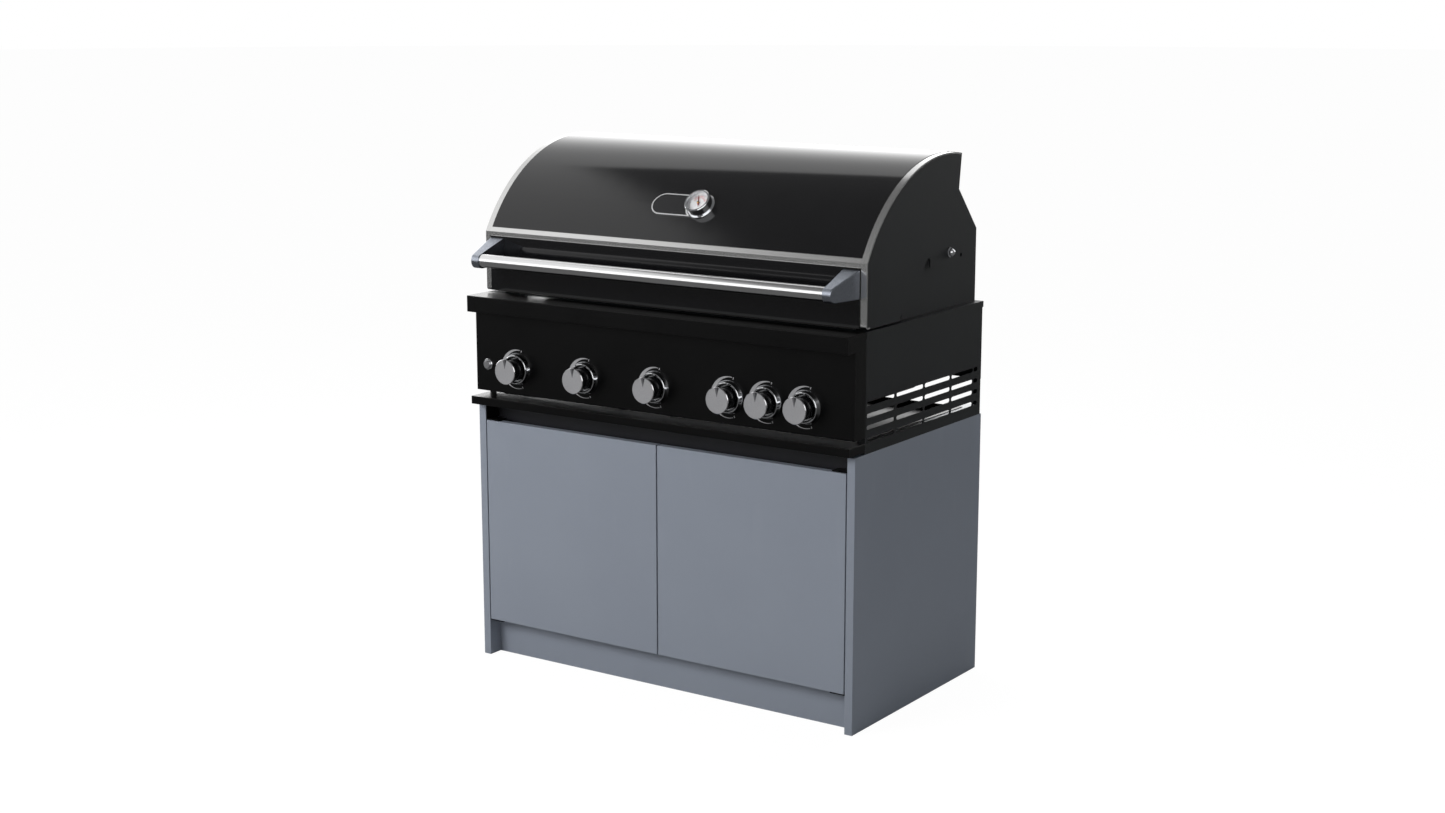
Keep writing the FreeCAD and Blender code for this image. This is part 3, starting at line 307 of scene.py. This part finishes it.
# %% [markdown]
# The handle's two brackets are cast aluminium, tumbled and then satin plated. Up close the casting
# shows a speckle of fine pits. A cell texture gives the pits, and a second noise breaks them up so
# that they don't look like a pattern.

# %% Cast brackets
def cast_metal():
    finish = Finish("cast_bracket")
    place = finish.position()
    cells = finish.add("TexVoronoi", {}, {"Vector": place, "Scale": 1300.0}, "Distance")
    pits = cells.ramp(0.05, 0.45) * finish.noise(place, 500.0).ramp(0.30, 0.60)
    return finish.set({"Base Color": finish.mix(pits, (0.29, 0.315, 0.365, 1), (0.43, 0.460, 0.520, 1)),
                       "Metallic": 1.0, "Roughness": 0.36 - pits * 0.08,
                       "Normal": finish.bump(pits, 0.05 * MM, 0.5)})


dress(cast_metal(), "handle_brackets")


# %% [markdown]
# Chrome is the simplest metal to set and the hardest to place: it has almost no colour of its own,
# so a bezel is only as good as what it reflects. A trace of fine haze keeps it from looking like a
# perfect mirror.

# %% Chrome and the bare metals
def chrome(name, tone, roughness):
    finish = Finish(name)
    haze = finish.noise(finish.position(), 260.0)
    return finish.set({"Base Color": finish.mix(haze, [channel * 0.95 for channel in tone[:3]] + [1], tone),
                       "Metallic": 1.0, "Roughness": roughness + haze.ramp(0.5, 0.8) * 0.05})


bright_chrome = chrome("bright_chrome", (0.78, 0.79, 0.81, 1), 0.05)
dress(bright_chrome, "knob_bezels", "ignition_bezel", "gauge_case", "hood_pivots")
dress(chrome("rack_chrome", (0.66, 0.67, 0.68, 1), 0.22), "warming_rack")
dress(chrome("satin_button", (0.50, 0.50, 0.52, 1), 0.30), "ignition_button")
dress(chrome("turned_brass", (0.62, 0.44, 0.17, 1), 0.28), "gas_inlet", "gas_valves")


# %% [markdown]
# A knob is two pieces pressed together: a black moulded grip and a satin metal cap with a pointer
# notch sunk in its face. The frame has them as one mesh, so the finish tells them apart by depth:
# what lies within the cap's thickness of the face is metal. The cap's rim is polished brighter
# than its brushed face, which is found from the distance to the knob's axis. Inside the notch the
# face is painted darker, and darker still the deeper it goes: painted shade in the sunk notch.

# %% Knobs
cap_depth = 3.2 * MM


def knob_finish(number):
    low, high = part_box("knob_%d" % number)
    centre_x, centre_z = (low.x + high.x) / 2, (low.z + high.z) / 2
    radius = (high.x - low.x) / 2
    finish = Finish("knob_%d_finish" % number)
    x, y, z = finish.axes(finish.position())
    off_x, off_z = x - centre_x, z - centre_z
    distance = (off_x * off_x + off_z * off_z) ** 0.5
    cap = y < low.y + cap_depth + 0.05 * MM
    # Painted shade: the notch is coloured darker, and darker still towards its bottom.
    notch_shade_mask = (y > low.y + 0.12 * MM) * (distance < radius - 1.35 * MM)
    notch_shade_depth = (y - low.y).ramp(0.1 * MM, 1.6 * MM)
    rim = distance > radius - 1.25 * MM
    brush = finish.noise(finish.position((1800, 1800, 60)), 1.0, 3.0)
    mottle = finish.noise(finish.position(), 700.0)
    face = finish.mix(mottle.ramp(0.3, 0.7), (0.345, 0.345, 0.358, 1), (0.385, 0.385, 0.398, 1))
    notch_painted_shade = finish.mix(notch_shade_depth, (0.150, 0.150, 0.158, 1), (0.030, 0.030, 0.034, 1))
    metal = finish.mix(rim, finish.mix(notch_shade_mask, face, notch_painted_shade), (0.74, 0.74, 0.76, 1))
    return finish.set({"Base Color": finish.mix(cap, (0.005, 0.005, 0.006, 1), metal),
                       "Metallic": cap * (0.55 + rim * 0.45),
                       "Roughness": 0.22 + cap * (0.26 - rim * 0.32) + (brush - 0.5) * cap * 0.06,
                       "Normal": finish.bump(brush * cap, 0.006 * MM, 0.4)})


for number in range(1, 7):
    dress(knob_finish(number), "knob_%d" % number)


# %% [markdown]
# The badge beside the gauge is a plain black plate with a raised chrome rim. Again one mesh has
# two finishes. The gauge needle's joint gives the point and the direction that the badge is built
# round, so the plate's outline can be worked out: a strip with one round end.

# %% Bare badge
needle_joint = joints["gauge_needle_turn"]
dial_centre = Vector(needle_joint["pos_m"])
dial_out = Vector(needle_joint["axis"]).normalized()
dial_up = dial_out.cross(Vector((1, 0, 0))).normalized()
if dial_up.z < 0:
    dial_up = -dial_up
badge_low, badge_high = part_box("badge_plate")
case_low, case_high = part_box("gauge_case")
case_r = (case_high.x - case_low.x) / 2
rim_width = 3.0 * MM


def badge_finish():
    half_height = (badge_high - badge_low).dot(Vector((0, abs(dial_up.y), abs(dial_up.z)))) / 2
    half_height = min(half_height, 28.6 * MM)
    finish = Finish("badge_finish")
    place = finish.position()
    from_dial = finish.add("VectorMath", {"operation": "SUBTRACT"}, {0: place, 1: dial_centre})
    rise = finish.add("VectorMath", {"operation": "DOT_PRODUCT"}, {0: from_dial, 1: dial_up}, "Value")
    x, _, _ = finish.axes(place)
    left_of_end = badge_low.x + half_height - x
    past_end = left_of_end.maths("MAXIMUM", left_of_end, 0.0)
    to_spine = (past_end * past_end + rise * rise) ** 0.5
    off_x = x - dial_centre.x
    to_gauge = (off_x * off_x + rise * rise) ** 0.5
    plate = (to_spine < half_height - rim_width + 0.1 * MM) * (to_gauge > case_r + rim_width - 0.1 * MM)
    fleck = finish.noise(place, 800.0)
    return finish.set({"Base Color": finish.mix(plate, (0.90, 0.90, 0.91, 1), (0.004, 0.004, 0.005, 1)),
                       "Metallic": 1 - plate, "Roughness": 0.32 - plate * 0.14 + fleck * 0.05})


dress(badge_finish(), "badge_plate")


# %% [markdown]
# Inside the firebox nothing stays bright. Stainless burners go straw and then blue-brown where
# the flame has been, cast iron grates are matt with a coarse skin, and ceramic stays pale. None
# of it shows with the hood shut, but the hood opens, so it gets its finishes as well. The steel's
# top edge is painted near black, as painted shade for the gap under the hood, and the ceramic's
# holes are painted as dark dots, as painted shade inside them.

# %% Inside the cooking chamber
def heat_tinted():
    finish = Finish("heat_tinted_steel")
    place = finish.position()
    heat = finish.noise(place, 11.0, 4.0).ramp(0.40, 0.68)
    lines = finish.noise(finish.position((6, 1500, 1500)), 1.0)
    _, _, z = finish.axes(place)
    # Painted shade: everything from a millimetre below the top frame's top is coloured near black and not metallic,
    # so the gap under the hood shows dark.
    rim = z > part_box("top_frame")[1].z - 1.0 * MM
    steel = finish.mix(heat, (0.46, 0.45, 0.43, 1), (0.24, 0.17, 0.11, 1))
    return finish.set({"Base Color": finish.mix(rim, steel, (0.004, 0.004, 0.004, 1)),
                       "Metallic": 1 - rim, "Roughness": 0.36 + heat * 0.16 + (lines - 0.5) * 0.10,
                       "Normal": finish.bump(lines, 0.01 * MM, 0.5)})


def cast_iron():
    finish = Finish("cast_iron")
    place = finish.position()
    skin = finish.noise(place, 650.0, 4.0)
    wear = finish.noise(place, 24.0).ramp(0.50, 0.72)
    return finish.set({"Base Color": finish.mix(wear, (0.016, 0.016, 0.017, 1), (0.040, 0.036, 0.032, 1)),
                       "Roughness": 0.62 + (skin - 0.5) * 0.2,
                       "Normal": finish.bump(skin, 0.12 * MM, 0.8)})


def ceramic():
    finish = Finish("ceramic")
    place = finish.position()
    # Painted shade: the burner's holes are not modelled, so dark dots are painted where they are, with a bump.
    hole_painted_shade = finish.add("TexVoronoi", {}, {"Vector": place, "Scale": 380.0}, "Distance").ramp(0.18, 0.34)
    soot = finish.noise(place, 13.0).ramp(0.45, 0.75)
    return finish.set({"Base Color": finish.mix(hole_painted_shade, (0.20, 0.16, 0.13, 1),
                                                finish.mix(soot, (0.72, 0.66, 0.57, 1), (0.50, 0.43, 0.35, 1))),
                       "Roughness": 0.8, "Normal": finish.bump(hole_painted_shade, 0.4 * MM, 0.7)})


dress(heat_tinted(), "firebox", "main_burners", "flame_tamers", "rear_gas_pipe")
dress(cast_iron(), "cooking_grates")
dress(ceramic(), "rear_burner", "igniter_electrodes")


# %% [markdown]
# The gauge is read through a flat glass. Its dial is pale enamelled tin, and the needle is a
# thin blade in dark red. The glass lets light through but keeps a faint reflection: real glass
# in a small gauge is clear, so it has no tint, only its surface.

# %% Gauge finishes
def dial_face():
    finish = Finish("dial_face")
    speck = finish.noise(finish.position(), 900.0)
    return finish.set({"Base Color": finish.mix(speck, (0.56, 0.56, 0.57, 1), (0.66, 0.66, 0.67, 1)),
                       "Roughness": 0.35 + speck * 0.1})


def paint(name, colour, roughness):
    finish = Finish(name)
    speck = finish.noise(finish.position(), 1200.0)
    return finish.set({"Base Color": finish.mix(speck, [channel * 0.88 for channel in colour[:3]] + [1], colour),
                       "Roughness": roughness + speck * 0.06})


def clear_glass():
    finish = Finish("clear_glass")
    smear = finish.noise(finish.position(), 120.0)
    return finish.set({"Base Color": (1, 1, 1, 1), "Roughness": 0.02 + smear.ramp(0.6, 0.8) * 0.05,
                       "Transmission Weight": 1.0, "IOR": 1.05, "Alpha": 0.35})


dress(dial_face(), "gauge_dial")
dress(paint("needle_paint", (0.22, 0.012, 0.014, 1), 0.35), "gauge_needle")
dress(clear_glass(), "gauge_glass")

# %% [markdown]
# What is printed is thinner than a sheet of paper, but it is still a thing with edges: a raised
# film of ink. Each printed mark here is a closed ribbon between two curves, a tenth of a
# millimetre thick, so that it survives as a mesh wherever the model goes. One helper makes such
# a ribbon from an inner and an outer radius at each angle, in any plane.

# %% Ribbon helper
def ribbon(centre, right, up, radii, angles, thickness):
    """A flat closed band about a centre: radii gives (inner, outer) for each share of the way."""
    out = right.cross(up).normalized()
    mesh = bmesh.new()
    rows = []
    steps = len(angles) - 1
    for step, angle in enumerate(angles):
        ray = right * math.cos(angle) + up * math.sin(angle)
        inner, outer = radii(step / steps)
        rows.append([mesh.verts.new(centre + ray * r + out * h)
                     for r, h in ((inner, 0), (outer, 0), (outer, thickness), (inner, thickness))])
    for row, following in zip(rows, rows[1:]):
        for corner in range(4):
            ahead = (corner + 1) % 4
            mesh.faces.new((row[corner], row[ahead], following[ahead], following[corner]))
    mesh.faces.new(rows[0][::-1])
    mesh.faces.new(rows[-1])
    return mesh


def place_mesh(name, mesh, material, body):
    """Turn a bmesh into an object that rides on a body."""
    bmesh.ops.recalc_face_normals(mesh, faces=mesh.faces)
    data = bpy.data.meshes.new(name)
    mesh.to_mesh(data)
    mesh.free()
    data.materials.append(material)
    piece = bpy.data.objects.new(name, data)
    bpy.context.scene.collection.objects.link(piece)
    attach(piece, body)
    return piece


def join(parts):
    """Copy several bmeshes into the first."""
    whole = parts[0]
    for part in parts[1:]:
        data = bpy.data.meshes.new("part")
        part.to_mesh(data)
        part.free()
        whole.from_mesh(data)
        bpy.data.meshes.remove(data)
    return whole


def turn(start, end, steps):
    """Angles in radians, evenly spaced from start to end in degrees."""
    return [math.radians(start + (end - start) * step / steps) for step in range(steps + 1)]


# %% [markdown]
# Round each knob the panel carries a printed flame scale: a crescent that begins as a hairline
# past twelve o'clock, swells to its widest at the upper left for the high flame, and thins out
# again towards the low flame at the bottom right. A small bar closes each end.

# %% Printed flame scales
RIGHT, UP = Vector((1, 0, 0)), Vector((0, 0, 1))
fascia_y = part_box("knob_bezels")[1].y
ink = paint("grey_ink", (0.32, 0.32, 0.33, 1), 0.5)
scale_outer = 45.0 * MM
scale_widest = 8.5 * MM
scale_least = 1.2 * MM
ink_film = 0.12 * MM


def flame_scale(number):
    at = Vector(joints["knob_%d_turn" % number]["pos_m"])
    centre = Vector((at.x, fascia_y, at.z))

    def crescent(share):
        swell = math.sin(math.pi * min(1.0, share * 1.18)) ** 1.2 if share < 0.85 else 0.0
        width = scale_least + (scale_widest - scale_least) * swell
        return scale_outer - width, scale_outer

    band = ribbon(centre, RIGHT, UP, crescent, turn(78, 286, 72), ink_film)
    ends = [ribbon(centre, RIGHT, UP, lambda share: (scale_outer - 4.2 * MM, scale_outer + 0.6 * MM),
                   turn(start, start + 2.6, 4), ink_film) for start in (72, 289.5)]
    place_mesh("flame_scale_%d" % number, join([band] + ends), ink, "grill")


for number in range(1, 7):
    flame_scale(number)
print("flame scales:", 6, "each", round(2 * scale_outer / MM), "mm across")

# %% [markdown]
# In the bottom of each chrome bezel sits a ribbed ring, a ratchet-like track that shows as a band
# of fine dark teeth round the knob's grip. Modelling the teeth costs little: one ring whose top
# rises and falls a hundred times.

# %% Ribbed rings in the bezels
ring_inner = 26.6 * MM
ring_outer = 29.4 * MM
ring_height = 3.0 * MM
teeth = 84
ring_metal = chrome("ring_metal", (0.20, 0.20, 0.21, 1), 0.25)


def ribbed_ring(number):
    at = Vector(joints["knob_%d_turn" % number]["pos_m"])
    bezel_floor = fascia_y - 2.2 * MM
    mesh = bmesh.new()
    rows = []
    for step in range(teeth * 4):
        angle = 2 * math.pi * step / (teeth * 4)
        height = ring_height if step % 4 in (0, 1) else ring_height * 0.45
        ray = RIGHT * math.cos(angle) + UP * math.sin(angle)
        centre = Vector((at.x, bezel_floor, at.z))
        rows.append([mesh.verts.new(centre + ray * r - Vector((0, h, 0)))
                     for r, h in ((ring_inner, 0), (ring_outer, 0), (ring_outer, height), (ring_inner, height))])
    for row, following in zip(rows, rows[1:] + rows[:1]):
        for corner in range(4):
            ahead = (corner + 1) % 4
            mesh.faces.new((row[corner], row[ahead], following[ahead], following[corner]))
    place_mesh("ribbed_ring_%d" % number, mesh, ring_metal, "grill")


for number in range(1, 7):
    ribbed_ring(number)
print("ribbed rings:", 6, "with", teeth, "teeth each")

# %% [markdown]
# The dial's print is plain: an outer scale line, ticks at each step with a longer one at every
# fifth, and a short red arc for the hot end. A brass cap hides the needle's pin. The print lies
# on the dial, and the cap rides with the needle.

# %% Dial print and needle cap
dial_right = dial_up.cross(dial_out).normalized()
dial_low, dial_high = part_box("gauge_dial")
dial_r = (dial_high.x - dial_low.x) / 2


def furthest_out(name):
    return max((vertex.co - dial_centre).dot(dial_out) for vertex in nodes[name].data.vertices)


def dial_print():
    face = dial_centre + dial_out * furthest_out("gauge_dial")
    red = paint("red_ink", (0.50, 0.10, 0.10, 1), 0.5)
    line = ribbon(face, dial_right, dial_up, lambda share: (dial_r - 6.2 * MM, dial_r - 5.7 * MM),
                  turn(-45, 225, 60), 0.08 * MM)
    ticks = []
    for step in range(31):
        angle = -45 + 9 * step
        length = (4.0 if step % 5 == 0 else 2.0) * MM
        ticks.append(ribbon(face, dial_right, dial_up,
                            lambda share, length=length: (dial_r - 5.9 * MM, dial_r - 5.9 * MM + length),
                            turn(angle - 0.7, angle + 0.7, 2), 0.09 * MM))
    place_mesh("dial_scale", join([line] + ticks), paint("dark_ink", (0.10, 0.10, 0.11, 1), 0.5), "hood")
    arcs = [ribbon(face, dial_right, dial_up, lambda share, r=r: (r, r + 1.3 * MM),
                   turn(start, end, 30), 0.08 * MM)
            for r, start, end in ((dial_r - 9.5 * MM, -45, 40), (dial_r - 9.5 * MM, 60, 150),
                                  (dial_r - 13.5 * MM, 20, 160))]
    place_mesh("dial_arcs", join(arcs), red, "hood")


def needle_cap():
    """A small domed cap, turned about the dial's axis."""
    base = furthest_out("gauge_needle") - 0.2 * MM
    cap_r, cap_height, rings, sides = 2.7 * MM, 1.1 * MM, 6, 32
    mesh = bmesh.new()
    levels = []
    for ring in range(rings):
        lift = math.pi / 2 * ring / rings
        levels.append([mesh.verts.new(dial_centre + dial_out * (base + cap_height * math.sin(lift))
                                      + (dial_right * math.cos(a) + dial_up * math.sin(a)) * cap_r * math.cos(lift))
                       for a in (2 * math.pi * side / sides for side in range(sides))])
    top = mesh.verts.new(dial_centre + dial_out * (base + cap_height))
    for lower, upper in zip(levels, levels[1:]):
        for side in range(sides):
            ahead = (side + 1) % sides
            mesh.faces.new((lower[side], lower[ahead], upper[ahead], upper[side]))
    for side in range(sides):
        mesh.faces.new((levels[-1][side], levels[-1][(side + 1) % sides], top))
    mesh.faces.new(levels[0][::-1])
    for face in mesh.faces:
        face.smooth = len(face.verts) < sides
    place_mesh("needle_cap", mesh, chrome("cap_brass", (0.60, 0.45, 0.18, 1), 0.2), "needle")


dial_print()
needle_cap()
print("dial radius:", round(dial_r / MM, 1), "mm")

# %% [markdown]
# The studio is a white floor that runs into a white surround. Camera rays see plain white; the
# rays that chrome and enamel send out see a surround with some shape to it, brightest low behind
# the grill, and dim above and to the right, because a reflection needs an edge
# to read as polish. The floor keeps a soft shadow where the cabinet stands.

# %% Surround and floor
def surround():
    world = bpy.data.worlds.new("studio")
    bpy.context.scene.world = world
    world.use_nodes = True
    recipe = Recipe(world.node_tree)
    direction = recipe.add("TexCoord", {}, {}, "Generated")
    x, y, z = recipe.axes(direction)
    behind = y.ramp(-0.05, 0.10)
    low_back = behind * (1 - z.ramp(0.735, 0.755)) * (1 - x.ramp(0.25, 0.60))
    low_front = (1 - behind) * (1 - z.ramp(0.50, 0.62)) * (1 - x.ramp(0.75, 0.95))
    left = 1 - (x + y * 0.061).ramp(-0.605, -0.580)
    lit = 1 - (1 - low_back) * (1 - low_front) * (1 - left)
    horizon = low_back * (1 - z.ramp(0.15, 0.66)) * 2.0 + low_front * (1 - z.ramp(0.30, 0.60)) * 0.55
    mirror_level = 0.17 + lit * 0.86 + horizon
    camera = recipe.add("LightPath", {}, {}, "Is Camera Ray")
    glossy = recipe.add("LightPath", {}, {}, "Is Glossy Ray")
    ambient = 0.25
    level = camera + glossy * mirror_level + (1 - camera) * (1 - glossy) * ambient
    background = world.node_tree.nodes["Background"]
    background.inputs["Color"].default_value = (1, 1, 1, 1)
    recipe.plug(background.inputs["Strength"], level)


def floor():
    radius, sides = 40.0, 96
    mesh = bmesh.new()
    bmesh.ops.create_circle(mesh, cap_ends=True, radius=radius, segments=sides)
    data = bpy.data.meshes.new("studio_floor")
    mesh.to_mesh(data)
    mesh.free()
    plane = bpy.data.objects.new("studio_floor", data)
    bpy.context.scene.collection.objects.link(plane)
    plane.location.z = cad_low.z - 0.2 * MM
    recipe = Finish("studio_floor")
    recipe.set({"Base Color": (0.86, 0.86, 0.86, 1), "Roughness": 0.9, "Specular IOR Level": 0.0})
    camera = recipe.add("LightPath", {}, {}, "Is Camera Ray")
    glossy = recipe.add("LightPath", {}, {}, "Is Glossy Ray")
    white = recipe.add("Emission", {}, {"Color": (1, 1, 1, 1), "Strength": 1.04})
    dim = recipe.add("Emission", {}, {"Color": (1, 1, 1, 1), "Strength": 0.13})
    passing = recipe.add("LightPath", {}, {}, "Is Transmission Ray")
    direct = recipe.add("MixShader", {}, {0: (camera + passing) * 0.93, 2: white,
                                          1: Signal(recipe, recipe.surface.outputs[0])})
    both = recipe.add("MixShader", {}, {0: glossy, 1: direct, 2: dim})
    recipe.plug(recipe.tree.nodes["Material Output"].inputs["Surface"], both)
    data.materials.append(recipe.material)


surround()
floor()


# %% [markdown]
# Three soft lamps do the rest. A big one at the front left models the doors and leaves the right
# side in shade; one overhead and behind draws the bright lines on the handle and the trims; a
# weak one on the right keeps the shaded side from going dead.

# %% Lamps
def softbox(name, place, target, size, watts, colour=(1, 1, 1)):
    lamp = bpy.data.lights.new(name, "AREA")
    lamp.shape = "RECTANGLE"
    lamp.size, lamp.size_y = size
    lamp.energy = watts
    lamp.color = colour
    holder = bpy.data.objects.new(name, lamp)
    bpy.context.scene.collection.objects.link(holder)
    holder.location = place
    aim = Vector(target) - Vector(place)
    holder.rotation_mode = "QUATERNION"
    holder.rotation_quaternion = aim.to_track_quat("-Z", "Y")
    holder.visible_glossy = False


middle = (cad_low + cad_high) / 2
softbox("key_front_left", (-1.6, -3.6, 2.6), middle, (2.2, 1.6), 128)
softbox("top_back", (-0.4, 1.2, 3.0), middle, (2.6, 1.2), 60)
softbox("fill_right", (3.2, -0.6, 1.8), middle, (1.6, 1.6), 3.5, (0.72, 0.86, 1.0))


# %% [markdown]
# The camera stands in front and to the right, a little above the lid, on a slightly long lens so
# that the box keeps its proportions. Its place is worked out from the object's middle.

# %% Camera
azimuth = math.radians(34.196)
elevation = math.radians(11.506)
distance = 4.878
aim_point = middle + Vector((0.0022, 0.0036, 0.0087))
back = Vector((math.sin(azimuth) * math.cos(elevation), -math.cos(azimuth) * math.cos(elevation),
               math.sin(elevation)))
lens = bpy.data.cameras.new("studio_camera")
lens.sensor_width = 36.0
lens.lens = 53.90
lens.clip_end = 200.0
camera = bpy.data.objects.new("studio_camera", lens)
bpy.context.scene.collection.objects.link(camera)
camera.location = aim_point + back * distance
camera.rotation_mode = "QUATERNION"
camera.rotation_quaternion = (-back).to_track_quat("-Z", "Y")
bpy.context.scene.camera = camera
bpy.context.scene.view_settings.view_transform = "Standard"
print("camera:", [round(v, 3) for v in camera.location])
